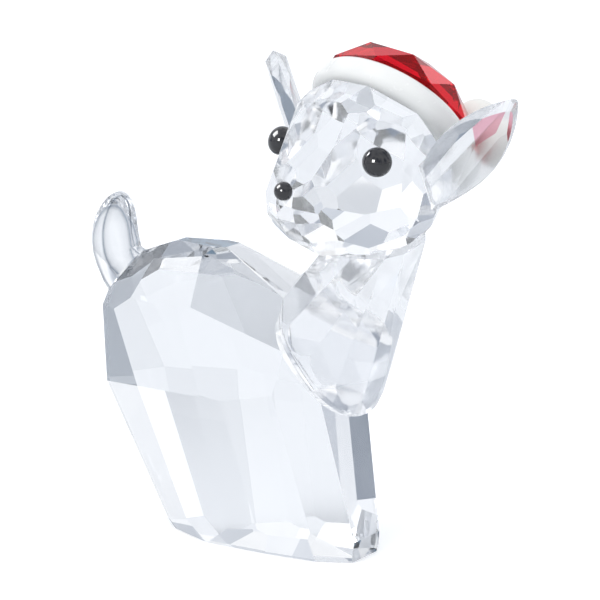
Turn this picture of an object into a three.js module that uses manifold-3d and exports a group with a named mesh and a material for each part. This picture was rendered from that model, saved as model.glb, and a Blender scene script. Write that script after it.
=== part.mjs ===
// Crystal reindeer figurine: a cut-crystal fawn that looks back over its right shoulder and wears a
// red and white hat. Twelve ground, turned and moulded pieces, each glued to the next.
// Millimetres, +X towards the chest, +Z up, origin in the middle of the foot face.

import * as THREE from "three";
import { ConvexGeometry } from "three/addons/geometries/ConvexGeometry.js";
import { mergeVertices } from "three/addons/utils/BufferGeometryUtils.js";
import Module from "manifold-3d";

const wasm = await Module();
wasm.setup();

const BOND_LINE = 0.3; // clear adhesive between two glued faces

// Body stone
const FOOT_LENGTH = 22.6; // flat face that the figurine stands on, heel edge to chest edge
const BODY_WIDTH = 15.2;
const BACK_HEIGHT = 31.4; // top of the back above the foot face

// Neck stone
const NECK_SEAT_TILT = 65; // degrees from level of the ground face between body and neck
const NECK_SEAT_HEIGHT = 27; // upper end of that face
const NECK_SEAT_BACK = 6.7; // that end behind the front edge of the foot
const LOBE_WIDTH = 17.8; // rounded outline of the neck stone on its seat
const LOBE_ABOVE = 5.7; // from its widest line up to its top
const LOBE_BELOW = 9.3; // from its widest line down to its tip
const LOBE_TAPER = 0.16; // narrows the outline towards its tip
const LOBE_RISE = 1.6; // its top stands above the back by this much
const LOBE_RIM = 1.1; // thickness of its rounded rim
const LOBE_POINTS = 48;
const NECK_FACETS = 12; // facets round the stone ahead of the rim
const NECK_FACET_SPREAD = 1.05; // their corners at the rim, as a share of the outline
const NECK_TOP_HEIGHT = 33.2; // face that carries the head, at its middle
const NECK_TOP_LEAN = 8; // degrees that this face rises towards the fawn's left
const NECK_TOP_LENGTH = 9.8;
const NECK_TOP_WIDTH = 10.8;
const NECK_REACH = 7.6; // middle of that face ahead of the seat's upper end
const NAPE_RADIUS = 4.6; // hollow ground across the back of the neck
const NAPE_BEHIND = 3.4; // its axis behind the rear edge of the top face
const NAPE_ABOVE = 1.2; // and above it

// Head stone
const HEAD_RADIUS = 9.1;
const HEAD_TURN = -99; // degrees about the vertical, to the fawn's right
const HEAD_ROLL = -3.3; // degrees that its left side is lower
const HEAD_SEAT_CUT = 1.7; // depth of the flat under the head
const HEAD_SETBACK = 1.8; // head centre behind the middle of the neck's top
const MUZZLE_RADIUS = 6;
const MUZZLE_REACH = 5.4; // centre of the muzzle's round ahead of the head's centre
const MUZZLE_DROP = 1.3; // and below it

// Eyes and nose: domes with a peg that is glued into a hole
const EYE_DIAMETER = 3;
const EYE_HEIGHT = 1.3;
const EYE_AZIMUTH = 52.5; // degrees from the muzzle
const EYE_TILT = 17;
const EYE_CUT = 1; // depth of the flat that an eye sits on
const NOSE_DIAMETER = 1.9;
const NOSE_HEIGHT = 1;
const NOSE_TILT = 5.5;
const NOSE_CUT = 0.15;
const PEG_SHARE = 0.5; // peg diameter over dome diameter
const PEG_LENGTH = 1.2;

// Ears
const EAR_LENGTH = 13.8;
const EAR_WIDTH = 6.6;
const EAR_THICKNESS = 2.3;
const EAR_BEVEL = 0.26; // bevel round the ear's two faces, as a share of its half width
const EAR_AZIMUTH = 99; // seat on the head, degrees from the muzzle
const EAR_TILT = 8;
const EAR_CUT = 1.5;

// Hat
const HAT_TILT = 44; // degrees from the top of the head
const HAT_AZIMUTH = 181; // that it leans towards, degrees from the muzzle
const BAND_SEAT = 5.25; // shoulder for the band, above the head's centre
const BAND_RADIUS = 8.7;
const BAND_HEIGHT = 2.4;
const BAND_WALL = 3;
const BAND_ROUNDNESS = 0.75; // 1 is an ellipse, 0 a rectangle
const BAND_SIDES = 64;
const BOSS_BELOW_BAND = 0.5; // top of the boss inside the band, below the band's top
const CROWN_RADIUS = 8.2;
const CROWN_HEIGHT = 5;
const CROWN_GIRDLE = 0.4; // upright edge round the crown's base
const CROWN_SIDES = 8;
const CROWN_TURN = 33; // degrees that its corners are turned from the brow to the fawn's left
const POMPOM_DIAMETER = 5;
const POMPOM_FLAT = 0.3; // depth of the flat that is glued to the crown
const POMPOM_SIDE = 2; // crown side that carries it, counted from the brow to the fawn's left

// Tail
const TAIL_SEAT_TILT = 39; // its seat on the rump looks back and up
const TAIL_LENGTH = 8.2; // rise from the middle of the seat to the tip
const TAIL_WIDTH = 4.4;
const TAIL_DEPTH = 5.2;
const TAIL_RINGS = 18;
const TAIL_SIDES = 28;

const DEG = Math.PI / 180;

function point(x, y, z) {
  return new THREE.Vector3(x, y, z);
}

// A direction from its azimuth about +Z (0 is +X) and its tilt above the horizon, in degrees.
function direction(azimuth, tilt) {
  const level = Math.cos(tilt * DEG);
  return point(level * Math.cos(azimuth * DEG), level * Math.sin(azimuth * DEG), Math.sin(tilt * DEG));
}

// The turn that stands a piece, made along +Z, on a normal.
function turnTo(normal) {
  return new THREE.Quaternion().setFromUnitVectors(point(0, 0, 1), normal);
}

// A closed geometry as a solid that can be cut and joined.
function toSolid(geometry) {
  const bare = geometry.index ? geometry.toNonIndexed() : geometry.clone();
  bare.deleteAttribute("normal");
  bare.deleteAttribute("uv");
  const merged = mergeVertices(bare, 1e-5);
  return new wasm.Manifold(
    new wasm.Mesh({
      numProp: 3,
      vertProperties: new Float32Array(merged.attributes.position.array),
      triVerts: new Uint32Array(merged.index.array),
    }),
  );
}

// A solid as a flat-shaded geometry.
function toGeometry(solid) {
  const mesh = solid.getMesh();
  const indexed = new THREE.BufferGeometry();
  indexed.setAttribute("position", new THREE.BufferAttribute(new Float32Array(mesh.vertProperties), 3));
  indexed.setIndex(new THREE.BufferAttribute(new Uint32Array(mesh.triVerts), 1));
  const flat = indexed.toNonIndexed();
  flat.computeVertexNormals();
  return flat;
}

function block(low, high) {
  const size = high.clone().sub(low);
  const centre = low.clone().add(high).multiplyScalar(0.5);
  return toSolid(new THREE.BoxGeometry(size.x, size.y, size.z).translate(centre.x, centre.y, centre.z));
}

// A facet is a unit normal and its distance from the origin.
function facetAt(normal, through) {
  const unit = normal.clone().normalize();
  return { normal: unit, distance: unit.dot(through) };
}

// The facet through three corners, with its outer side away from a point inside the stone.
function facetThrough([a, b, c], inside) {
  const normal = new THREE.Vector3().crossVectors(b.clone().sub(a), c.clone().sub(a));
  if (normal.dot(inside.clone().sub(a)) > 0) normal.negate();
  return facetAt(normal, a);
}

function mirrorPoint(p) {
  return point(p.x, -p.y, p.z);
}

// The same facet on the other side of the middle plane.
function mirrored({ normal, distance, middle }) {
  return { normal: mirrorPoint(normal), distance, middle: middle && mirrorPoint(middle) };
}

function keepBehind(solid, { normal, distance }) {
  return solid.trimByPlane([-normal.x, -normal.y, -normal.z], -distance);
}

function keepAhead(solid, { normal, distance }, gap = 0) {
  return solid.trimByPlane(normal.toArray(), distance + gap);
}

function grind(solid, facets) {
  return facets.reduce(keepBehind, solid);
}

// Body

// A place in the body as shares of the foot's length from the heel, of the half width towards the
// fawn's right, and of the back's height.
function bodyPoint(along, aside, up) {
  return point((along - 0.5) * FOOT_LENGTH, (-aside * BODY_WIDTH) / 2, up * BACK_HEIGHT);
}

const seatTop = point(FOOT_LENGTH / 2 - NECK_SEAT_BACK, 0, NECK_SEAT_HEIGHT);
const seatDown = direction(0, -NECK_SEAT_TILT);
const neckSeat = facetAt(direction(0, 90 - NECK_SEAT_TILT), seatTop);
const tailSeatMiddle = bodyPoint(-0.288, 0, 0.873);
const tailSeat = facetAt(direction(180, TAIL_SEAT_TILT), tailSeatMiddle);

function bodyStone() {
  const inside = bodyPoint(0.5, 0, 0.5);

  // Corners of the right side, on the foot face, on its bevel and at the waist.
  const foot = {
    heel: bodyPoint(0, 0.21, 0),
    rear: bodyPoint(0.246, 0.555, 0),
    middle: bodyPoint(0.58, 0.586, 0),
    front: bodyPoint(0.845, 0.54, 0),
    toe: bodyPoint(1, 0.32, 0),
  };
  const bevel = {
    heel: bodyPoint(-0.037, 0.236, 0.031),
    rear: bodyPoint(0.138, 0.55, 0.067),
    side: bodyPoint(0.388, 0.668, 0.068),
    middle: bodyPoint(0.569, 0.704, 0.071),
    front: bodyPoint(0.832, 0.675, 0.082),
    toe: bodyPoint(1.012, 0.33, 0.07),
  };
  const waist = {
    rump: bodyPoint(-0.367, 0.307, 0.489),
    rear: bodyPoint(-0.081, 0.79, 0.523),
    side: bodyPoint(0.277, 0.96, 0.528),
    middle: bodyPoint(0.423, 0.987, 0.527),
    front: bodyPoint(0.702, 0.974, 0.57),
    chest: bodyPoint(0.883, 0.579, 0.543),
  };

  const right = [
    [bevel.heel, bevel.rear, foot.rear],
    [foot.rear, foot.middle, bevel.side],
    [foot.middle, foot.front, bevel.front],
    [foot.front, foot.toe, bevel.front],
    [waist.rump, waist.rear, bevel.rear],
    [waist.rear, waist.side, bevel.side],
    [waist.side, waist.middle, bevel.middle],
    [waist.middle, waist.front, bevel.front],
    [waist.front, waist.chest, bevel.toe],
  ].map((corners) => facetThrough(corners, inside));

  // Facets above the waist: azimuth, tilt and a place that each goes through.
  const above = [
    [-118.9, -4.4, waist.rump],
    [-99.3, 6.6, waist.rear],
    [-91.3, 10.2, waist.front],
    [-150, 30, bodyPoint(-0.33, 0.42, 0.83)],
    [-120, 33, bodyPoint(-0.13, 0.69, 0.8)],
    [-98, 30, bodyPoint(0.2, 0.79, 0.8)],
    [-85, 31, bodyPoint(0.73, 0.85, 0.725)],
    [-136, 53, bodyPoint(-0.15, 0.34, 0.93)],
    [-103, 48, bodyPoint(0.1, 0.55, 0.92)],
    [-74, 50, bodyPoint(0.6, 0.5, 0.885)],
    [-90, 66, bodyPoint(0.14, 0.26, 1)],
  ].map(([azimuth, tilt, through]) => facetAt(direction(azimuth, tilt), through));

  // Facets square to the middle plane, from the heel over the back to the chest.
  const across = [
    facetThrough([foot.heel, mirrorPoint(foot.heel), bevel.heel], inside),
    facetThrough([bevel.heel, mirrorPoint(bevel.heel), waist.rump], inside),
    facetAt(direction(180, 1), waist.rump),
    tailSeat,
    facetAt(direction(180, 70), bodyPoint(0, 0, 1)),
    facetAt(direction(0, 90), bodyPoint(0, 0, 1)),
    facetThrough([bodyPoint(0.285, 0, 1), bodyPoint(0.285, 1, 1), seatTop], inside),
    facetThrough([foot.toe, mirrorPoint(foot.toe), bevel.toe], inside),
    facetThrough([bevel.toe, mirrorPoint(bevel.toe), waist.chest], inside),
    neckSeat,
  ];

  const blank = block(bodyPoint(-0.45, 1.1, 0), bodyPoint(1.1, -1.1, 1.05));
  const sides = [...right, ...above];
  return grind(blank, [...sides, ...sides.map(mirrored), ...across]);
}

// Neck

const neckTopMiddle = point(seatTop.x + NECK_REACH, 0, NECK_TOP_HEIGHT);
const headSeat = facetAt(direction(-90, 90 - NECK_TOP_LEAN), neckTopMiddle);

// A ring round the lobe's outline, at a share of its size and a height above the glued face.
function lobeRing(count, share, lift) {
  const glueFace = seatTop.clone().addScaledVector(neckSeat.normal, BOND_LINE + lift);
  return Array.from({ length: count }, (_, i) => {
    const angle = (2 * Math.PI * (i + 0.5)) / count;
    const c = Math.cos(angle);
    const down = c > 0 ? LOBE_BELOW * c : LOBE_ABOVE * c;
    const aside = Math.sin(angle) * (1 - LOBE_TAPER * Math.max(0, c));
    return glueFace
      .clone()
      .addScaledVector(seatDown, LOBE_ABOVE - LOBE_RISE + share * down)
      .setY((share * aside * LOBE_WIDTH) / 2);
  });
}

// Corners of the top face as shares of its half length and half width, spread out by a factor.
function neckTopCorners(spread) {
  return [
    [-1, 0.3],
    [-0.78, 0.62],
    [0.12, 1],
    [0.78, 0.75],
    [1, 0.4],
  ].flatMap(([along, aside]) =>
    [-1, 1].map((side) => {
      const y = (spread * side * aside * NECK_TOP_WIDTH) / 2;
      const x = neckTopMiddle.x + (spread * along * NECK_TOP_LENGTH) / 2;
      return point(x, y, NECK_TOP_HEIGHT + y * Math.tan(NECK_TOP_LEAN * DEG));
    }),
  );
}

// The rounded rim is what a wide round blank and the faceted stone have in common.
function neckStone() {
  const round = [
    ...lobeRing(LOBE_POINTS, 0.97, 0),
    ...lobeRing(LOBE_POINTS, 1, 0.4 * LOBE_RIM),
    ...lobeRing(LOBE_POINTS, 1, LOBE_RIM),
    ...neckTopCorners(1.6),
  ];
  const faceted = [
    ...lobeRing(NECK_FACETS, NECK_FACET_SPREAD, 0),
    ...lobeRing(NECK_FACETS, NECK_FACET_SPREAD, LOBE_RIM),
    ...neckTopCorners(1),
  ];
  const stone = toSolid(new ConvexGeometry(round)).intersect(toSolid(new ConvexGeometry(faceted)));
  const wheel = new THREE.CylinderGeometry(NAPE_RADIUS, NAPE_RADIUS, 2 * LOBE_WIDTH, 48);
  wheel.translate(neckTopMiddle.x - NECK_TOP_LENGTH / 2 - NAPE_BEHIND, 0, NECK_TOP_HEIGHT + NAPE_ABOVE);
  return stone.subtract(toSolid(wheel));
}

// Head, in its own frame: +X out through the muzzle, +Y to the fawn's left, centre of the skull at 0

const muzzleCentre = point(MUZZLE_REACH, 0, -MUZZLE_DROP);
const headCentre = neckTopMiddle.clone().setX(neckTopMiddle.x - HEAD_SETBACK);
headCentre.z += (BOND_LINE + HEAD_RADIUS - HEAD_SEAT_CUT) / Math.cos(NECK_TOP_LEAN * DEG);
const headTurn = new THREE.Quaternion().setFromEuler(
  new THREE.Euler(HEAD_ROLL * DEG, 0, HEAD_TURN * DEG, "ZYX"),
);
const chinFacet = {
  normal: headSeat.normal.clone().negate().applyQuaternion(headTurn.clone().invert()),
  distance: HEAD_RADIUS - HEAD_SEAT_CUT,
};

// A facet that touches the rounds of skull and muzzle, or is ground deeper by a cut, with the place
// in its middle.
function headFacet([azimuth, tilt, cut = 0]) {
  const normal = direction(azimuth, tilt);
  const muzzle = MUZZLE_RADIUS + normal.dot(muzzleCentre);
  const distance = Math.max(HEAD_RADIUS, muzzle) - cut;
  const round = muzzle > HEAD_RADIUS ? muzzleCentre : point(0, 0, 0);
  const middle = round.clone().addScaledVector(normal, distance - normal.dot(round));
  return { normal, distance, middle };
}

const leftEyeSeat = headFacet([EYE_AZIMUTH, EYE_TILT, EYE_CUT]);
const leftEarSeat = headFacet([EAR_AZIMUTH, EAR_TILT, EAR_CUT]);
const noseSeat = headFacet([0, NOSE_TILT, NOSE_CUT]);
const eyeSeats = { left: leftEyeSeat, right: mirrored(leftEyeSeat) };
const earSeats = { left: leftEarSeat, right: mirrored(leftEarSeat) };

const hatAxis = direction(HAT_AZIMUTH, 90 - HAT_TILT);
const bandBottom = BAND_SEAT + BOND_LINE;
const crownBottom = bandBottom + BAND_HEIGHT + BOND_LINE;
const bossRadius = BAND_RADIUS - BAND_WALL - BOND_LINE;
const bossTop = bandBottom + BAND_HEIGHT - BOSS_BELOW_BAND;

function pegRadius(diameter) {
  return (PEG_SHARE * diameter) / 2;
}

// The hole for the peg of an eye or of the nose.
function pegHole({ normal, middle }, diameter) {
  const radius = pegRadius(diameter) + BOND_LINE;
  const depth = PEG_LENGTH + BOND_LINE;
  const drill = new THREE.CylinderGeometry(radius, radius, 2 * depth, 24);
  drill.rotateX(Math.PI / 2);
  drill.applyQuaternion(turnTo(normal));
  return toSolid(drill.translate(middle.x, middle.y, middle.z));
}

function headStone() {
  const middle = [
    [0, 38, 0.9],
    [0, 64, 0.1],
    [0, -16],
    [0, -38, 0.1],
    [0, -60],
    [180, 28],
    [180, 0],
    [180, -28],
    [180, -56],
  ].map(headFacet);
  const left = [
    [28, 5, 0.35],
    [26, -14, 0.1],
    [27, 58],
    [33, 36, 0.1],
    [30, -36, 0.15],
    [48, -8, 0.15],
    [42, -58],
    [62, -28],
    [60, 41],
    [80, 58],
    [78, 8],
    [84, 32],
    [76, -50],
    [88, -14],
    [98, -34],
    [118, -18],
    [112, 26],
    [128, 6],
    [112, -56],
    [134, -36],
    [140, 34],
    [150, -12],
    [154, 12],
    [146, -58],
    [164, -38],
  ].map(headFacet);
  left.push(eyeSeats.left, earSeats.left);
  const reach = 2 * HEAD_RADIUS;
  const blank = block(point(-reach, -reach, -reach), point(reach, reach, reach));
  const stone = grind(blank, [...middle, ...left, ...left.map(mirrored), noseSeat, chinFacet]);

  // Above the shoulder only the boss inside the hat band is left.
  const shoulder = { normal: hatAxis, distance: BAND_SEAT };
  const boss = new THREE.CylinderGeometry(bossRadius, bossRadius, 2 * bossTop, BAND_SIDES);
  boss.rotateX(Math.PI / 2);
  boss.applyQuaternion(turnTo(hatAxis));
  const holes = [
    pegHole(eyeSeats.left, EYE_DIAMETER),
    pegHole(eyeSeats.right, EYE_DIAMETER),
    pegHole(noseSeat, NOSE_DIAMETER),
  ];
  const skull = keepBehind(stone, shoulder);
  const plug = keepAhead(toSolid(boss), shoulder, -BOND_LINE);
  return holes.reduce((solid, hole) => solid.subtract(hole), skull.add(plug));
}

// A dome on a peg along +Z, with the dome's flat side at 0.
function dome(diameter, height) {
  const radius = diameter / 2;
  const peg = pegRadius(diameter);
  const profile = [new THREE.Vector2(0, -PEG_LENGTH), new THREE.Vector2(peg, -PEG_LENGTH)];
  profile.push(new THREE.Vector2(peg, 0));
  for (let i = 0; i <= 12; i += 1) {
    const angle = (i * Math.PI) / 24;
    profile.push(new THREE.Vector2(i < 12 ? radius * Math.cos(angle) : 0, height * Math.sin(angle)));
  }
  return new THREE.LatheGeometry(profile, 36).rotateX(Math.PI / 2);
}

// A leaf-shaped ear, thickest at its middle rib, with its foot ground to fit the head's flat.
function earLeaf(seat) {
  const side = Math.sign(seat.normal.y);
  const outward = point(-0.2, 0.585 * side, 0.77).normalize();
  const front = point(0.741, 0.604 * side, -0.292);
  front.addScaledVector(outward, -front.dot(outward)).normalize();
  const across = new THREE.Vector3().crossVectors(outward, front);
  const foot = seat.normal.clone().multiplyScalar(seat.distance).add(point(-0.5, 0.5 * side, -2.6));
  // Half widths along the ear, as shares of its length and half width.
  const outline = [
    [-0.12, 0.42],
    [0.12, 0.78],
    [0.32, 0.98],
    [0.48, 1],
    [0.66, 0.86],
    [0.83, 0.56],
    [0.95, 0.24],
    [1, 0.06],
  ];
  const middle = 0.45;
  const corners = [-1, 0, 1].flatMap((face) => {
    const scale = face === 0 ? 1 : 1 - EAR_BEVEL;
    return outline.flatMap(([along, width]) =>
      [-1, 1].map((edge) =>
        foot
          .clone()
          .addScaledVector(outward, (middle + (along - middle) * scale) * EAR_LENGTH)
          .addScaledVector(across, (edge * width * scale * EAR_WIDTH) / 2)
          .addScaledVector(front, (face * EAR_THICKNESS) / 2),
      ),
    );
  });
  return keepAhead(toSolid(new ConvexGeometry(corners)), seat, BOND_LINE);
}

// Hat pieces, each on its own base at 0 with the hat's axis along +Z

function hatBand() {
  const profile = [];
  const sides = 24;
  for (let i = 0; i <= sides; i += 1) {
    const angle = (2 * Math.PI * (i % sides)) / sides;
    const c = Math.cos(angle);
    const s = Math.sin(angle);
    const out = Math.sign(c) * Math.abs(c) ** BAND_ROUNDNESS;
    const up = Math.sign(s) * Math.abs(s) ** BAND_ROUNDNESS;
    profile.push(
      new THREE.Vector2(BAND_RADIUS + ((out - 1) * BAND_WALL) / 2, ((up + 1) * BAND_HEIGHT) / 2),
    );
  }
  return new THREE.LatheGeometry(profile, BAND_SIDES).rotateX(Math.PI / 2);
}

// Rings of the rose-cut crown: height and radius shares, each turned half a side from the last.
const CROWN_RINGS = [
  [0.51, 0.83],
  [0.86, 0.4],
];

function crownRing(radius, height, turn) {
  return Array.from({ length: CROWN_SIDES }, (_, i) =>
    direction(CROWN_TURN + ((i + turn) * 360) / CROWN_SIDES, 0)
      .multiplyScalar(radius)
      .setZ(height),
  );
}

function hatCrown() {
  const rise = CROWN_HEIGHT - CROWN_GIRDLE;
  const corners = [
    ...crownRing(CROWN_RADIUS, 0, 0.5),
    ...crownRing(CROWN_RADIUS, CROWN_GIRDLE, 0.5),
    ...CROWN_RINGS.flatMap(([height, radius], i) =>
      crownRing(radius * CROWN_RADIUS, CROWN_GIRDLE + height * rise, i / 2),
    ),
    point(0, 0, CROWN_HEIGHT),
  ];
  return new ConvexGeometry(corners);
}

// The crown facet that carries the pompom: a triangle on a girdle corner, with the middle of its
// upper part. Its upper edge lies on the first ring.
function pompomSeat() {
  const azimuth = CROWN_TURN + ((POMPOM_SIDE + 0.5) * 360) / CROWN_SIDES;
  const [height, radius] = CROWN_RINGS[0];
  const low = direction(azimuth, 0).multiplyScalar(CROWN_RADIUS).setZ(CROWN_GIRDLE);
  const high = direction(azimuth, 0)
    .multiplyScalar(radius * CROWN_RADIUS * Math.cos(Math.PI / CROWN_SIDES))
    .setZ(CROWN_GIRDLE + height * (CROWN_HEIGHT - CROWN_GIRDLE));
  const slope = high.clone().sub(low).normalize();
  const normal = direction(azimuth, Math.acos(slope.z) / DEG);
  return { normal, middle: low.lerp(high, 0.8) };
}

function pompomBead() {
  const bead = toSolid(new THREE.SphereGeometry(POMPOM_DIAMETER / 2, 40, 28));
  return bead.trimByPlane([0, 0, 1], POMPOM_FLAT - POMPOM_DIAMETER / 2);
}

// Tail

// A closed skin over rings of equally many points, with a flat end on the first and last ring.
function loft(rings) {
  const sides = rings[0].length;
  const middleOf = (ring) =>
    ring.reduce((sum, p) => sum.add(p), point(0, 0, 0)).divideScalar(sides);
  const points = [...rings.flat(), middleOf(rings[0]), middleOf(rings.at(-1))];
  const last = rings.length - 1;
  const index = [];
  for (let k = 0; k < sides; k += 1) {
    const next = (k + 1) % sides;
    index.push(points.length - 2, k, next);
    index.push(points.length - 1, last * sides + next, last * sides + k);
    for (let i = 0; i < last; i += 1) {
      const [a, b] = [i * sides + k, i * sides + next];
      index.push(a, b + sides, b, a, a + sides, b + sides);
    }
  }
  const geometry = new THREE.BufferGeometry().setFromPoints(points);
  geometry.setIndex(index);
  return geometry;
}

// A smooth drop that leaves the rump backwards and curls up to a round tip.
function tailDrop() {
  const spine = new THREE.CatmullRomCurve3(
    [
      [0.15, -0.14],
      [-0.2, 0.12],
      [-0.26, 0.42],
      [-0.21, 0.72],
      [-0.12, 1],
    ].map(([forward, up]) => point(forward, 0, up).multiplyScalar(TAIL_LENGTH)),
  );
  const aside = point(0, 1, 0);
  const rings = Array.from({ length: TAIL_RINGS + 1 }, (_, i) => {
    const share = 1 - (1 - i / TAIL_RINGS) ** 1.7;
    const centre = spine.getPointAt(share);
    const up = new THREE.Vector3().crossVectors(aside, spine.getTangentAt(share));
    const swell = Math.max(0.03, (1 - share ** 4) ** 0.5 * (0.86 + 0.2 * Math.sin(2.6 * share)));
    return Array.from({ length: TAIL_SIDES }, (_, k) => {
      const angle = (2 * Math.PI * k) / TAIL_SIDES;
      return centre
        .clone()
        .addScaledVector(aside, (swell * TAIL_WIDTH * Math.sin(angle)) / 2)
        .addScaledVector(up, (-swell * TAIL_DEPTH * Math.cos(angle)) / 2);
    });
  });
  const local = { normal: tailSeat.normal, distance: 0 };
  return keepAhead(toSolid(loft(rings)), local, BOND_LINE);
}

// Scene graph

function material(name, color, roughness, extra = {}) {
  return new THREE.MeshStandardMaterial({ name, color, roughness, metalness: 0, ...extra });
}

function piece(parent, name, shape, look) {
  const geometry = shape.isBufferGeometry ? shape : toGeometry(shape);
  const mesh = new THREE.Mesh(geometry, look);
  mesh.name = name;
  parent.add(mesh);
  return mesh;
}

const clear = { transparent: true, opacity: 0.45 };
const figurine = new THREE.Group();
figurine.name = "reindeer_figurine";

piece(figurine, "body", bodyStone(), material("body_crystal", 0xe6ebf3, 0.03, clear));
piece(figurine, "neck", neckStone(), material("neck_crystal", 0xe9edf5, 0.03, clear));
const tail = piece(figurine, "tail", tailDrop(), material("tail_crystal", 0xdfe5ee, 0.03, clear));
tail.position.copy(tailSeatMiddle);

const head = new THREE.Group();
head.name = "head_group";
head.position.copy(headCentre);
head.quaternion.copy(headTurn);
figurine.add(head);
piece(head, "head", headStone(), material("head_crystal", 0xe9edf5, 0.03, clear));

for (const side of ["left", "right"]) {
  const ear = earLeaf(earSeats[side]);
  piece(head, side + "_ear", ear, material(side + "_ear_crystal", 0xe3e8f1, 0.03, clear));
}

function addDome(name, seat, diameter, height) {
  const mesh = piece(head, name, dome(diameter, height), material(name + "_black", 0x2b2c2f, 0.12));
  mesh.position.copy(seat.middle).addScaledVector(seat.normal, BOND_LINE);
  mesh.quaternion.copy(turnTo(seat.normal));
}

addDome("left_eye", eyeSeats.left, EYE_DIAMETER, EYE_HEIGHT);
addDome("right_eye", eyeSeats.right, EYE_DIAMETER, EYE_HEIGHT);
addDome("nose", noseSeat, NOSE_DIAMETER, NOSE_HEIGHT);

const hat = new THREE.Group();
hat.name = "hat_group";
hat.quaternion.copy(turnTo(hatAxis));
head.add(hat);
const band = piece(hat, "hat_band", hatBand(), material("band_white", 0xf1efea, 0.3));
band.position.z = bandBottom;
const crown = piece(hat, "hat_crown", hatCrown(), material("crown_red", 0xc4001c, 0.05));
crown.position.z = crownBottom;

const bead = piece(hat, "pompom", pompomBead(), material("pompom_white", 0xf0ece2, 0.35));
const { normal, middle } = pompomSeat();
bead.position.copy(middle).setZ(middle.z + crownBottom);
bead.position.addScaledVector(normal, BOND_LINE + POMPOM_DIAMETER / 2 - POMPOM_FLAT);
bead.quaternion.copy(turnTo(normal));

export default figurine;
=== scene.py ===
"""Crystal reindeer figurine: cut clear stones, black domes, and a red and white hat, on a pale floor."""

import math
import random

import bmesh
import bpy
from mathutils import Matrix, Vector

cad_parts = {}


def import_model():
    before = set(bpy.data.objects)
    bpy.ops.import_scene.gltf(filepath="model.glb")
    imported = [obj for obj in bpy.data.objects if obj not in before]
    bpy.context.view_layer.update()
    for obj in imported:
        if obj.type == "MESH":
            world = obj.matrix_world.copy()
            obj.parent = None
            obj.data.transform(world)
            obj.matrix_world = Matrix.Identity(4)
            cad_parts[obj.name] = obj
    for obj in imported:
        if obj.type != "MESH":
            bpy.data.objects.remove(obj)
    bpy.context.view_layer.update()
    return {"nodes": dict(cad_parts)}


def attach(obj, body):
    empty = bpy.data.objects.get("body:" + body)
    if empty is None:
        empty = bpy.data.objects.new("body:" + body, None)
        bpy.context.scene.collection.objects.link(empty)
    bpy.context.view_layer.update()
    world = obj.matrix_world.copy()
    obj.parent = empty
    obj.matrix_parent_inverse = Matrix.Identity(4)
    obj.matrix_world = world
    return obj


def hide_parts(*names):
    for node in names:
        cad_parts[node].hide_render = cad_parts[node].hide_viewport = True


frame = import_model()

MM = 0.001

# Camera
TARGET = Vector((2.5, 1.4, 26.1)) * MM
AZIMUTH = 32
ELEVATION = 12.5
DISTANCE = 350 * MM
SENSOR = 36  # width in millimetres
LENS = 201.6

# Glue lines between stones
BOND_LINE = 0.3 * MM  # gap that the frame leaves for the clear adhesive
BOND_SLACK = 0.1 * BOND_LINE  # how far a found gap may be from that
BITE = 0.02 * MM  # the glued face reaches this far into its seat, so that light passes through
SEAT_GAP = 0.02 * MM  # air left under the black domes

# Tolerances
WELD = 0.002 * MM  # points nearer than this are one
CUT_WELD = WELD / 10  # the same where a facet is ground
SAME_FACET = math.radians(0.3)  # faces that meet flatter than this are one facet
PARALLEL = 0.9995  # least cosine between two normals that count as parallel
LEVEL_SLACK = 0.05 * MM  # points nearer to a plane than this lie on it

# Studio
CARD_SHIFT = (0, 0, 7)  # picks which side of the studio each card stands on
CARD_SCALE = 2.4
CARD_DETAIL = 1
CARD_TONES = [  # place in the noise and light of the studio's cards, from the darkest to the lightest
    (0.34, (0.27, 0.31, 0.38)),
    (0.42, (0.65, 0.69, 0.76)),
    (0.5, (0.92, 0.95, 1)),
    (0.62, (1.15, 1.16, 1.17)),
]
WHITE = (1, 1, 1, 1)
FLOOR_COLOR = (0.8, 0.81, 0.82)
FLOOR_ROUGHNESS = 0.6
FLOOR_GLOSS = 0.1
FLOOR_LIFT = 0.35  # the floor is this much lighter to the camera than to the stones
FLOOR_RADIUS = 3
FLOOR_SIDES = 96
FLOOR_DROP = 0.05 * MM  # keeps the floor clear of the foot
KEY_LAMP = (-10, 62, 0.8, 0.5, 3)  # azimuth and tilt in degrees, distance and size in metres, power in watts
LINKED_LAMPS = {  # the same for the lamps that light only a few pieces
    "eye_spark": (10, 20, 0.5, 0.14, 2.4),
    "side_card": (-66, 46, 0.5, 0.3, 4),
    "rim_card": (-83, 40, 0.5, 0.18, 2.5),
    "back_card": (174, 28, 0.8, 0.5, 1.1),
}
DEEP_BOUNCES = 48  # in all and through the stones
GLOSSY_BOUNCES = 16
DIFFUSE_BOUNCES = 6

# Looks of the stones
CRYSTAL_INDEX = 1.56
HEAD_INDEX = 1.46
NECK_INDEX = 1.45
POLISH = 0.012  # spread of the roughness over a facet
HEAD_HAZE = 0.04  # least roughness, which softens what is seen through the stone
NECK_HAZE = 0.08
EAR_HAZE = 0.16
CLEAR = (0.985, 0.99, 1)
# Painted shade: facets take up this cool dark colour in place of the dark studio that clear crystal reflects
# and shows through
PAINTED_SHADE_COLOR = (0.3, 0.325, 0.365)
PAINTED_RED_REFLECTION = (0.74, 0.23, 0.32)  # painted reflection: the hat's red as an ear reflects it
TAIL_PAINTED_RIM = 1.35  # how much painted shade the tail takes up along its outline
PAINTED_RIM_SHADES = [  # share of that painted shade at places from the middle of what faces the eye (0) to its outline (1)
    (0.05, (0, 0, 0)),
    (0.15, (0.35, 0.35, 0.35)),
    (0.2, (1, 1, 1)),
    (0.25, (0, 0, 0)),
    (0.8, (0, 0, 0)),
    (1, (0.6, 0.6, 0.6)),
]
RED = (0.72, 0, 0.01)
DARK_RED = (0.3, 0, 0.01)
RED_REFLECTION = (1, 0.1, 0.15, 1)
RED_GLOSS = 0.05

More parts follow.
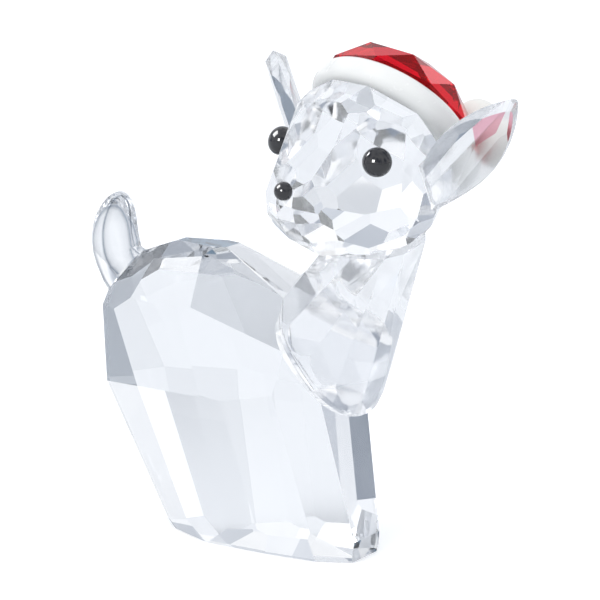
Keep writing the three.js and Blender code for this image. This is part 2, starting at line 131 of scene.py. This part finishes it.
# Looks of the domes, the band and the pompom: colour, share by which it darkens, least and greatest roughness
BLACK = ((0.008, 0.008, 0.01), 0.3, (0.03, 0.06))
BLACK_INDEX = 1.6
BAND_WHITE = ((0.8, 0.8, 0.78), 0.04, (0.22, 0.3))
BAND_COAT = 0.4
BAND_COAT_ROUGHNESS = 0.08
POMPOM_WHITE = ((0.8, 0.79, 0.745), 0.05, (0.3, 0.4))

# Noises: waves per metre and detail
CRYSTAL_POLISH_NOISE = (900, 2)
CRYSTAL_WAVE_NOISE = (250, 0)
CLOUD_NOISE = (400, 3)
GLOSSY_POLISH_NOISE = (1500, 2)
GLOSSY_GRAIN_NOISE = (1200, 2)
CRYSTAL_WAVES = (0.05, 0.02 * MM)  # strength and height of the bumps
GLOSSY_GRAIN = (0.1, 0.01 * MM)

# Finer shapes
BAND_ROUNDNESS = 0.75  # of the band's section: 1 is an ellipse, 0 a rectangle
BAND_REACH = 1.95 * BOND_LINE  # the band is this much higher than the frame's, to fill both glue lines
BAND_STEPS = 64
BAND_SIDES = 160
PLATE_HEIGHT = 0.5 * MM  # white plate that closes the band under the crown
ROUND_SIDES = 96
DOME_STEPS = 28
DOME_FOOT = 0.96  # radius of the dome's underside, as a share of its own
DOME_EDGE = 0.2 * BOND_LINE  # height of the bevel between them
POMPOM_STEPS = 48
BEAD_SHARE = 0.997  # keeps the finer bead and domes inside the frame's
MUZZLE_AZIMUTH = -9  # degrees from -Y towards +X
AXIS_ROUNDS = 20  # steps towards an ear's long axis
CORNER_ROUNDS = 3  # corner cuttings that smooth an ear's outline
CORNER_SHARE = 0.25  # of each side, cut off with a corner
EAR_FACE = 0.86  # size of the ears' two faces, as a share of their outline
FACET_AREA = 0.8 * MM * MM  # larger faces stay flat
SMOOTH_RIM = math.radians(14)  # facets of a rim that meet flatter than this are polished round
SMOOTH_TURNED = math.radians(30)  # the same for turned pieces
SMOOTH_TAIL = math.radians(40)
TAIL_FLARE_UP = 0.6 * MM  # the tail's foot spreads this far up the rump
TAIL_FLARE_DOWN = 1.3 * MM  # and down it
TAIL_FLARE_RISE = 3.4 * MM  # height over which the spread fades out


def direction(azimuth, tilt):
    """A direction seen from the figurine: azimuth 0 is -Y, growing towards +X; tilt is above the horizon."""
    a, t = math.radians(azimuth), math.radians(tilt)
    return Vector((math.sin(a) * math.cos(t), -math.cos(a) * math.cos(t), math.sin(t)))


# Mesh helpers


def solid(node):
    """The node's solid, with the triangles of each flat facet merged into one face."""
    bm = bmesh.new()
    bm.from_mesh(frame["nodes"][node].data)
    bmesh.ops.remove_doubles(bm, verts=bm.verts, dist=WELD)
    bmesh.ops.dissolve_limit(bm, angle_limit=SAME_FACET, verts=bm.verts, edges=bm.edges)
    bm.normal_update()
    return bm


def hull(points):
    """The solid inside a set of points, with its flat facets merged."""
    bm = bmesh.new()
    for point in points:
        bm.verts.new(point)
    bmesh.ops.convex_hull(bm, input=bm.verts)
    loose = [v for v in bm.verts if not v.link_faces]
    bmesh.ops.delete(bm, geom=loose, context="VERTS")
    bmesh.ops.dissolve_limit(bm, angle_limit=SAME_FACET, verts=bm.verts, edges=bm.edges)
    bmesh.ops.recalc_face_normals(bm, faces=bm.faces)
    return bm


def largest_flat(bm):
    """Centre and outward normal of the largest face."""
    face = max(bm.faces, key=lambda f: f.calc_area())
    return face.calc_center_median(), face.normal.copy()


def span(bm, axis):
    """Lowest and highest place along an axis."""
    heights = [v.co.dot(axis) for v in bm.verts]
    return min(heights), max(heights)


def radii(bm, axis, about):
    """Nearest and farthest distance from the axis through a point."""
    spokes = [v.co - about for v in bm.verts]
    lengths = [(spoke - axis * spoke.dot(axis)).length for spoke in spokes]
    return min(lengths), max(lengths)


def glued_face(bm, other):
    """The face of bm that lies one bond line from a parallel face of the other piece."""
    found = []
    for face in bm.faces:
        for seat in other.faces:
            if face.normal.dot(seat.normal) > -PARALLEL:
                continue
            gap = (seat.calc_center_median() - face.calc_center_median()).dot(face.normal)
            if abs(gap - BOND_LINE) < BOND_SLACK:
                found.append((min(face.calc_area(), seat.calc_area()), face.index, face))
    return max(found)[2]


def glue(bm, other):
    """Brings a piece's glued face onto its seat, as the clear adhesive does."""
    face = glued_face(bm, other)
    for vert in face.verts:
        vert.co += face.normal * (BOND_LINE + BITE)


def lathe(profile, sides, origin, axis):
    """A turned body. Its profile of (radius, height) pairs ends on the axis or closes on itself."""
    bm = bmesh.new()
    place = Matrix.Translation(origin) @ axis.to_track_quat("Z", "Y").to_matrix().to_4x4()
    angles = [2 * math.pi * i / sides for i in range(sides)]
    rings = []
    for radius, height in profile:
        turns = angles if radius > 0 else angles[:1]
        corners = [Vector((radius * math.cos(a), radius * math.sin(a), height)) for a in turns]
        rings.append([bm.verts.new(place @ corner) for corner in corners])
    if profile[0][0] > 0:
        rings.append(rings[0])
    for low, high in zip(rings, rings[1:]):
        for i in range(sides):
            j = (i + 1) % sides
            corners = [low[i % len(low)], low[j % len(low)], high[j % len(high)], high[i % len(high)]]
            bm.faces.new(dict.fromkeys(corners))
    bmesh.ops.recalc_face_normals(bm, faces=bm.faces)
    return bm


def piece(name, bm, look, nodes, smooth_angle=None):
    """A finished piece that stands for its nodes. Edges sharper than smooth_angle stay sharp."""
    mesh = bpy.data.meshes.new(name)
    bm.normal_update()
    if smooth_angle is not None:
        for face in bm.faces:
            face.smooth = face.calc_area() < FACET_AREA
        for edge in bm.edges:
            edge.smooth = len(edge.link_faces) == 2 and edge.calc_face_angle() < smooth_angle
    bm.to_mesh(mesh)
    mesh.materials.append(look)
    obj = bpy.data.objects.new(name, mesh)
    bpy.context.scene.collection.objects.link(obj)
    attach(obj, "root")
    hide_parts(*nodes)
    return obj


# Materials


def principled(name, **values):
    """A new material with some values set on its shader."""
    look = bpy.data.materials.new(name)
    look.use_nodes = True
    shader = look.node_tree.nodes["Principled BSDF"]
    for key, value in values.items():
        shader.inputs[key.replace("_", " ")].default_value = value
    return look, look.node_tree.nodes, look.node_tree.links, shader


def noise(nodes, links, scale, detail):
    """Fine noise over the object's own coordinates."""
    coordinates = nodes.new("ShaderNodeTexCoord")
    texture = nodes.new("ShaderNodeTexNoise")
    texture.inputs["Scale"].default_value = scale
    texture.inputs["Detail"].default_value = detail
    links.new(coordinates.outputs["Object"], texture.inputs["Vector"])
    return texture.outputs["Fac"]


def ranged(nodes, links, value, low, high):
    """A value from 0 to 1 spread from low to high."""
    node = nodes.new("ShaderNodeMapRange")
    node.inputs["To Min"].default_value = low
    node.inputs["To Max"].default_value = high
    links.new(value, node.inputs["Value"])
    return node.outputs["Result"]


def ramp(nodes, links, value, stops):
    """A colour picked by a value from (place, colour) stops."""
    node = nodes.new("ShaderNodeValToRGB")
    elements = node.color_ramp.elements
    elements[0].position, elements[1].position = stops[0][0], stops[-1][0]
    elements[0].color, elements[1].color = (*stops[0][1], 1), (*stops[-1][1], 1)
    for position, color in stops[1:-1]:
        elements.new(position).color = (*color, 1)
    links.new(value, node.inputs["Fac"])
    return node.outputs["Color"]


def bump(nodes, links, shader, height, strength, distance):
    """Faint relief on a shader."""
    node = nodes.new("ShaderNodeBump")
    node.inputs["Strength"].default_value = strength
    node.inputs["Distance"].default_value = distance
    links.new(height, node.inputs["Height"])
    links.new(node.outputs["Normal"], shader.inputs["Normal"])


def facet_value(nodes, name):
    """A value that each facet carries."""
    node = nodes.new("ShaderNodeAttribute")
    node.attribute_name = name
    return node.outputs["Fac"]


def mixed(nodes, links, factor, first, second):
    """A colour between two colours; a factor above 1 goes past the second one."""
    mix = nodes.new("ShaderNodeMix")
    mix.data_type = "RGBA"
    mix.clamp_factor = False
    links.new(factor, mix.inputs["Factor"])
    for key, color in (("A", first), ("B", second)):
        if isinstance(color, tuple):
            mix.inputs[key].default_value = (*color, 1)
        else:
            links.new(color, mix.inputs[key])
    return mix.outputs["Result"]


def crystal(name, clear=CLEAR, painted_dark=PAINTED_SHADE_COLOR, ior=CRYSTAL_INDEX, haze=0, rim=0, **values):
    """Cut crystal. A facet's painted shade mixes in a cool dark colour, painted in place of the dark studio
    that clear crystal reflects and shows through; its painted reflection mixes in the hat's red as an ear
    reflects it; rim adds painted shade by how the surface faces the eye.
    """
    look, nodes, links, shader = principled(name, IOR=ior, Transmission_Weight=1, **values)
    painted_shade = facet_value(nodes, "painted_shade")
    # Painted shade along the outline and in a line inside it, placed by how the surface faces the eye
    if rim:
        weight = nodes.new("ShaderNodeLayerWeight")
        added = nodes.new("ShaderNodeMath")
        added.operation = "MULTIPLY_ADD"
        links.new(ramp(nodes, links, weight.outputs["Facing"], PAINTED_RIM_SHADES), added.inputs[0])
        added.inputs[1].default_value = rim
        links.new(painted_shade, added.inputs[2])
        painted_shade = added.outputs["Value"]
    color = mixed(nodes, links, painted_shade, clear, painted_dark)
    # Painted reflection: the hat's red, mixed in where a facet carries it
    color = mixed(nodes, links, facet_value(nodes, "painted_reflection"), color, PAINTED_RED_REFLECTION)
    links.new(color, shader.inputs["Base Color"])
    polish = ranged(nodes, links, noise(nodes, links, *CRYSTAL_POLISH_NOISE), haze, haze + POLISH)
    links.new(polish, shader.inputs["Roughness"])
    bump(nodes, links, shader, noise(nodes, links, *CRYSTAL_WAVE_NOISE), *CRYSTAL_WAVES)
    return look


def glossy(name, color, variation, rough, **values):
    """A smooth coloured surface with faint clouds in its colour and its gloss."""
    look, nodes, links, shader = principled(name, **values)
    darker = tuple(c * (1 - variation) for c in color)
    clouds = mixed(nodes, links, noise(nodes, links, *CLOUD_NOISE), color, darker)
    links.new(clouds, shader.inputs["Base Color"])
    polish = ranged(nodes, links, noise(nodes, links, *GLOSSY_POLISH_NOISE), *rough)
    links.new(polish, shader.inputs["Roughness"])
    bump(nodes, links, shader, noise(nodes, links, *GLOSSY_GRAIN_NOISE), *GLOSSY_GRAIN)
    return look


def paint(bm, face, painted_shade, painted_reflection):
    """Sets a facet's own painted shade and painted red reflection."""
    face[bm.faces.layers.float["painted_shade"]] = painted_shade
    face[bm.faces.layers.float["painted_reflection"]] = painted_reflection


def set_painted_shades(bm, seed, spread, named=()):
    """Gives each facet a seeded painted shade, mostly low; a named facet is the one nearest to a direction.
    """
    layer = bm.faces.layers.float.new("painted_shade")
    bm.faces.layers.float.new("painted_reflection")
    dice = random.Random(seed)
    for face in bm.faces:
        face[layer] = spread * dice.random() ** 2
    for azimuth, tilt, painted_shade in named:
        towards = direction(azimuth, tilt)
        max(bm.faces, key=lambda f: f.normal.dot(towards))[layer] = painted_shade


# Azimuth, tilt and painted shade of the body's facets that stand out
BODY_PAINTED_SHADES = [
    (-29, -4, 1.15),
    (-27, -15, 0.25),
    (-30, 33, 0.9),
    (-13, 48, 0.95),
    (5, 31, 0.6),
    (-9, 7, 0.12),
    (-8, 30, 0.08),
    (36, 1, 0.12),
    (16, 50, 0.5),
    (0, 90, 1.4),
    (-4, -9, 0),
    (-9, -10, 0),
    (-25, -25, 0),
    (3, -8, 0),
    (90, -7, 0.6),
    (90, 11, 0),
    (90, 65, 0.3),
]
# Azimuth, tilt and painted shade of the head's facets that stand out
HEAD_PAINTED_SHADES = [(22.5, 56.4, 0.6), (-12, -38, 0.45), (-61, 20, 0)]

# Seed and spread of the other painted shades of each stone
BODY_DICE = (3, 0.3)
NECK_DICE = (5, 0.1)
HEAD_DICE = (7, 0.15)
TAIL_DICE = (1, 0)
CROWN_DICE = (2, 0)
EAR_SEED = 9


# Shapes of the pieces

body = solid("body")
neck = solid("neck")
tail = solid("tail")
skull = solid("head")
crown = solid("hat_crown")

crown_base, crown_down = largest_flat(crown)
hat_axis = -crown_down


def head_stone():
    """The head without its peg holes: the hull of what lies under the hat's shoulder."""
    flats = [f for f in skull.faces if f.normal.dot(hat_axis) > PARALLEL]
    shoulder = min(f.calc_center_median().dot(hat_axis) for f in flats)
    return hull([v.co for v in skull.verts if v.co.dot(hat_axis) < shoulder + WELD])


def rounded(loop, pinned):
    """A closed loop of points with its corners cut, except the pinned ones."""
    points = []
    for i, start in enumerate(loop):
        j = (i + 1) % len(loop)
        end = loop[j]
        points.append((start if pinned[i] else start.lerp(end, CORNER_SHARE), pinned[i]))
        if not pinned[j]:
            points.append((start.lerp(end, 1 - CORNER_SHARE), False))
    return [p for p, pin in points], [pin for p, pin in points]


def grind(bm, point, normal, painted_shade, painted_reflection):
    """Cuts off what lies ahead of a plane. The new facet gets a painted shade and a painted red reflection.
    """
    bm.normal_update()
    bmesh.ops.bisect_plane(
        bm,
        geom=[*bm.verts, *bm.edges, *bm.faces],
        dist=CUT_WELD,
        plane_co=point,
        plane_no=normal,
        clear_outer=True,
    )
    rim = {v for e in bm.edges if e.is_boundary for v in e.verts}
    if not rim:
        return
    centre = sum((v.co for v in rim), Vector()) / len(rim)
    across = normal.orthogonal()
    along = normal.cross(across)

    def turn(vert):
        spoke = vert.co - centre
        return math.atan2(spoke.dot(along), spoke.dot(across))

    facet = bm.faces.new(sorted(rim, key=turn))
    paint(bm, facet, painted_shade, painted_reflection)


# Facets ground into the ears. Each goes outwards from a line on the front (1) or the back (-1), given by
# two points: shares of the ear's length from its foot and of its half width towards the hat. Then come its
# tilt in degrees and its painted shade and painted red reflection on the left and on the right ear.
EAR_FACETS = [
    (1, (0.33, 0.56), (0.82, 0.57), 25, (1.3, 0), (0.3, 0)),
    (1, (0.3, 0.5), (0.58, 0.62), 40, (0.85, 0), (1.28, 0)),
    (1, (0.58, 0.62), (0.86, 0.46), 40, (1.05, 0), (1.22, 0)),
    (1, (0.8, 0.57), (0.96, 0.16), 30, (0.15, 0), (0, 0)),
    (1, (0.59, 0.08), (0.69, 0.57), 3, (0.05, 0), (0.3, 0)),
    (1, (0.59, 0.08), (0.75, -0.12), 3, (0, 0), (0, 0)),
    (1, (0.75, -0.12), (0.95, 0.16), 4, (0, 0), (0, 0)),
    (1, (0.53, -0.19), (0.75, -0.24), 9, (0.35, 0), (0.1, 0)),
    (1, (0.73, -0.5), (0.87, -0.14), 25, (0.2, 1), (0, 0)),
    (1, (0.35, 0.46), (0.27, -0.65), 7, (0, 0), (0.2, 0)),
    (-1, (0.1, 0.05), (0.9, 0.05), 14, (0, 0), (0.2, 0)),
    (-1, (0.9, 0), (0.1, 0), 14, (0.1, 0), (0, 0)),
    (-1, (0.2, 0.5), (0.8, 0.6), 35, (0.3, 0), (0.35, 0)),
]
TABLE_MIDDLE = (0.77, 0.3)  # a place inside the flat that is left in front
# Spread of each ear's seeded painted shade
EAR_PAINTED_SHADES = {"left": 0.2, "right": 0.4}
EAR_TABLE = {"left": (0, 1), "right": (0.15, 0)}  # painted shade and painted red reflection of that flat


def ear_leaf(side):
    """The ear with a smooth outline and ground facets: its two faces and its middle keep their planes."""
    bm = solid(side + "_ear")
    seat = glued_face(bm, head)
    faces = sorted(bm.faces, key=lambda f: f.calc_area())[-2:]
    front = max((f.normal for f in faces), key=lambda n: n.dot(direction(MUZZLE_AZIMUTH, 0)))
    levels = [f.calc_center_median().dot(front) for f in faces]
    middle = sum(levels) / 2
    centre = sum((v.co for v in bm.verts), Vector()) / len(bm.verts)
    foot = seat.calc_center_median()
    along = centre - foot
    for _ in range(AXIS_ROUNDS):
        spokes = [v.co - centre for v in bm.verts]
        along = sum((spoke * spoke.dot(along) for spoke in spokes), Vector())
        along = (along - front * along.dot(front)).normalized()
    across = front.cross(along)
    across *= math.copysign(1, across.z)
    points = []
    for level in (*levels, middle):
        loop = [v.co.copy() for v in bm.verts if abs(v.co.dot(front) - level) < LEVEL_SLACK]
        loop.sort(key=lambda p: math.atan2((p - centre).dot(along), (p - centre).dot(across)))
        pinned = [abs((p - foot).dot(seat.normal)) < LEVEL_SLACK for p in loop]
        for _ in range(CORNER_ROUNDS):
            loop, pinned = rounded(loop, pinned)
        points += loop
    for point in loop:
        inner = centre.lerp(point, EAR_FACE)
        points += [inner + front * (level - inner.dot(front)) for level in levels]
    leaf = hull(points)
    set_painted_shades(leaf, EAR_SEED, EAR_PAINTED_SHADES[side])
    grind(leaf, foot, seat.normal, 0, 0)
    start, end = span(leaf, along)
    low, high = span(leaf, across)

    def place(face, share, width):
        level = max(levels) if face > 0 else min(levels)
        sideways = (low + high) / 2 + width * (high - low) / 2
        return along * (start + share * (end - start)) + across * sideways + front * level

    paint(leaf, max(leaf.faces, key=lambda f: f.normal.dot(front)), *EAR_TABLE[side])
    for face, first, second, tilt, left, right in EAR_FACETS:
        a, b = place(face, *first), place(face, *second)
        if face > 0:
            out = (b - a).cross(front).normalized()
            out *= math.copysign(1, out.dot(a - place(face, *TABLE_MIDDLE)))
        else:
            out = across * math.copysign(1, (b - a).dot(along))
        angle = math.radians(tilt)
        normal = front * face * math.cos(angle) + out * math.sin(angle)
        grind(leaf, a, normal, *(left if side == "left" else right))
    return leaf


def dome(node):
    """The visible cap of an eye or of the nose, down to the facet that it is glued to."""
    bm = solid(node)
    flat, down = largest_flat(bm)
    axis = -down
    low, high = span(bm, axis)
    ring = [v.co for v in bm.verts if v.co.dot(axis) < low + WELD]
    about = sum(ring, Vector()) / len(ring)
    radius = BEAD_SHARE * radii(bm, axis, about)[1]
    seat = about + axis * (flat.dot(axis) - low)
    height = BEAD_SHARE * (high - flat.dot(axis))
    foot = SEAT_GAP - BOND_LINE
    profile = [(0, foot), (DOME_FOOT * radius, foot), (radius, foot + DOME_EDGE)]
    for i in range(DOME_STEPS + 1):
        angle = i * math.pi / 2 / DOME_STEPS
        profile.append((radius * math.cos(angle) if i < DOME_STEPS else 0, height * math.sin(angle)))
    return lathe(profile, ROUND_SIDES, seat, axis)


def flare(bm, other):
    """Spreads a drop's foot along its seat, up and down the slope."""
    seat = glued_face(bm, other)
    centre, normal = seat.calc_center_median(), seat.normal.copy()
    down = Vector((0, 0, -1))
    down = (down - normal * down.dot(normal)).normalized()
    reach = max(abs((v.co - centre).dot(down)) for v in seat.verts)
    for vert in bm.verts:
        rise = (centre - vert.co).dot(normal)
        side = (vert.co - centre).dot(down) / reach
        spread = TAIL_FLARE_DOWN if side > 0 else TAIL_FLARE_UP
        fade = max(0, 1 - rise / TAIL_FLARE_RISE)
        vert.co += down * max(-1, min(1, side)) * spread * fade * fade


def band_ring():
    """The white band, filling the space between the head's shoulder and the crown."""
    bm = solid("hat_band")
    low, high = span(bm, hat_axis)
    inner, outer = radii(bm, hat_axis, crown_base)
    wall = outer - inner
    base = crown_base + hat_axis * (low - crown_base.dot(hat_axis) - BOND_LINE)
    height = high - low + BAND_REACH
    middle = outer - wall / 2
    under, over = height - PLATE_HEIGHT, height - BITE
    plate = [(0, under), (middle, under), (middle, over), (0, over)]
    profile = []
    for i in range(BAND_STEPS):
        angle = 2 * math.pi * i / BAND_STEPS
        c, s = math.cos(angle), math.sin(angle)
        out = math.copysign(abs(c) ** BAND_ROUNDNESS, c)
        up = math.copysign(abs(s) ** BAND_ROUNDNESS, s)
        profile.append((outer + (out - 1) * wall / 2, (up + 1) * height / 2))
    ring = lathe(profile, BAND_SIDES, base, hat_axis)
    cover = bpy.data.meshes.new("band_plate")
    lathe(plate, ROUND_SIDES, base, hat_axis).to_mesh(cover)
    ring.from_mesh(cover)
    return ring


def pompom_bead():
    """A round bead with a small flat, moved one bond line onto the crown."""
    bm = solid("pompom")
    flat, down = largest_flat(bm)
    axis = -down
    low, high = span(bm, axis)
    radius = radii(bm, axis, flat)[1]
    centre = flat + axis * (high - radius - flat.dot(axis) - BOND_LINE)
    start = math.acos(max(-1, (low + radius - high) / radius))
    radius *= BEAD_SHARE
    profile = [(0, -radius * math.cos(math.pi - start))]
    for i in range(POMPOM_STEPS + 1):
        angle = start * (1 - i / POMPOM_STEPS)
        profile.append((radius * math.sin(angle) if i < POMPOM_STEPS else 0, radius * math.cos(angle)))
    return lathe(profile, ROUND_SIDES, centre, axis)


head = head_stone()
ears = {side: ear_leaf(side) for side in ("left", "right")}
glue(neck, body)
glue(neck, head)
flare(tail, body)
glue(tail, body)
for side in ears:
    glue(ears[side], head)

# Painted shade on each stone's facets
set_painted_shades(body, *BODY_DICE, BODY_PAINTED_SHADES)
set_painted_shades(neck, *NECK_DICE)
set_painted_shades(head, *HEAD_DICE, HEAD_PAINTED_SHADES)
set_painted_shades(tail, *TAIL_DICE)
set_painted_shades(crown, *CROWN_DICE)

piece("body_stone", body, crystal("body_crystal"), ["body"])
neck_look = crystal("neck_crystal", ior=NECK_INDEX, haze=NECK_HAZE)
piece("neck_stone", neck, neck_look, ["neck"], SMOOTH_RIM)
piece("tail_drop", tail, crystal("tail_crystal", rim=TAIL_PAINTED_RIM), ["tail"], SMOOTH_TAIL)
head_look = crystal("head_crystal", ior=HEAD_INDEX, haze=HEAD_HAZE)
piece("head_stone", head, head_look, ["head"])
for side, ear in ears.items():
    look = crystal(side + "_ear_crystal", haze=EAR_HAZE)
    piece(side + "_ear_stone", ear, look, [side + "_ear"], SMOOTH_RIM)

crown_look = crystal("crown_red", RED, DARK_RED, Specular_Tint=RED_REFLECTION, Specular_IOR_Level=RED_GLOSS)
crown_piece = piece("crown_stone", crown, crown_look, ["hat_crown"])
black = glossy("black_crystal", *BLACK, IOR=BLACK_INDEX)
left_eye, right_eye, nose = (
    piece(name + "_dome", dome(name), black, [name], SMOOTH_TURNED)
    for name in ("left_eye", "right_eye", "nose")
)
band_look = glossy("band_white", *BAND_WHITE, Coat_Weight=BAND_COAT, Coat_Roughness=BAND_COAT_ROUGHNESS)
piece("hat_band_ring", band_ring(), band_look, ["hat_band"], SMOOTH_TURNED)
pompom_look = glossy("pompom_white", *POMPOM_WHITE)
piece("pompom_bead", pompom_bead(), pompom_look, ["pompom"], SMOOTH_TURNED)


# Studio


def world():
    """Soft light with broad grey-blue cards in it; the backdrop itself is plain white."""
    scene = bpy.context.scene
    scene.world = bpy.data.worlds.new("studio")
    scene.world.use_nodes = True
    nodes, links = scene.world.node_tree.nodes, scene.world.node_tree.links
    background = nodes["Background"]
    coordinates = nodes.new("ShaderNodeTexCoord")
    shift = nodes.new("ShaderNodeVectorMath")
    shift.inputs[1].default_value = CARD_SHIFT
    cards = nodes.new("ShaderNodeTexNoise")
    cards.inputs["Scale"].default_value = CARD_SCALE
    cards.inputs["Detail"].default_value = CARD_DETAIL
    path = nodes.new("ShaderNodeLightPath")
    mix = nodes.new("ShaderNodeMix")
    mix.data_type = "RGBA"
    links.new(coordinates.outputs["Generated"], shift.inputs[0])
    links.new(shift.outputs["Vector"], cards.inputs["Vector"])
    card_light = ramp(nodes, links, cards.outputs["Fac"], CARD_TONES)
    links.new(path.outputs["Is Camera Ray"], mix.inputs["Factor"])
    links.new(card_light, mix.inputs["A"])
    mix.inputs["B"].default_value = WHITE
    links.new(mix.outputs["Result"], background.inputs["Color"])


def floor():
    """A plain pale floor, just under the foot."""
    bm = bmesh.new()
    bmesh.ops.create_circle(bm, cap_ends=True, segments=FLOOR_SIDES, radius=FLOOR_RADIUS)
    mesh = bpy.data.meshes.new("floor")
    bmesh.ops.translate(bm, vec=(0, 0, -FLOOR_DROP), verts=bm.verts)
    bm.to_mesh(mesh)
    obj = bpy.data.objects.new("floor", mesh)
    bpy.context.scene.collection.objects.link(obj)
    look, nodes, links, shader = principled(
        "floor_white",
        Base_Color=(*FLOOR_COLOR, 1),
        Roughness=FLOOR_ROUGHNESS,
        Specular_IOR_Level=FLOOR_GLOSS,
    )
    path = nodes.new("ShaderNodeLightPath")
    lift = nodes.new("ShaderNodeMath")
    lift.operation = "MULTIPLY"
    lift.inputs[1].default_value = FLOOR_LIFT
    shader.inputs["Emission Color"].default_value = WHITE
    links.new(path.outputs["Is Camera Ray"], lift.inputs[0])
    links.new(lift.outputs["Value"], shader.inputs["Emission Strength"])
    mesh.materials.append(look)


def lamp(name, azimuth, tilt, distance, size, power):
    """A square lamp that faces the figurine."""
    light = bpy.data.lights.new(name, "AREA")
    light.size = size
    light.energy = power
    obj = bpy.data.objects.new(name, light)
    obj.location = TARGET + direction(azimuth, tilt) * distance
    obj.rotation_euler = (TARGET - obj.location).to_track_quat("-Z", "Y").to_euler()
    bpy.context.scene.collection.objects.link(obj)
    return obj


def linked_lamp(name, *pieces):
    """A lamp whose light meets only some pieces, as if the others weren't there."""
    card = lamp(name, *LINKED_LAMPS[name])
    card.visible_transmission = False
    group = bpy.data.collections.new(name + "_receivers")
    for obj in pieces:
        group.objects.link(obj)
    card.light_linking.receiver_collection = group
    card.light_linking.blocker_collection = group


def camera():
    """The camera, placed as the photograph's."""
    data = bpy.data.cameras.new("camera")
    data.sensor_width = SENSOR
    data.lens = LENS
    obj = bpy.data.objects.new("camera", data)
    obj.location = TARGET + direction(AZIMUTH, ELEVATION) * DISTANCE
    obj.rotation_euler = (TARGET - obj.location).to_track_quat("-Z", "Y").to_euler()
    bpy.context.scene.collection.objects.link(obj)
    bpy.context.scene.camera = obj


world()
floor()
key = lamp("key", *KEY_LAMP)
key.visible_glossy = False
linked_lamp("eye_spark", left_eye, right_eye, nose)
linked_lamp("side_card", right_eye, nose)
linked_lamp("rim_card", left_eye)
linked_lamp("back_card", crown_piece)
camera()
bpy.context.scene.view_settings.view_transform = "Standard"
cycles = bpy.context.scene.cycles
cycles.max_bounces = DEEP_BOUNCES
cycles.transmission_bounces = DEEP_BOUNCES
cycles.glossy_bounces = GLOSSY_BOUNCES
cycles.diffuse_bounces = DIFFUSE_BOUNCES
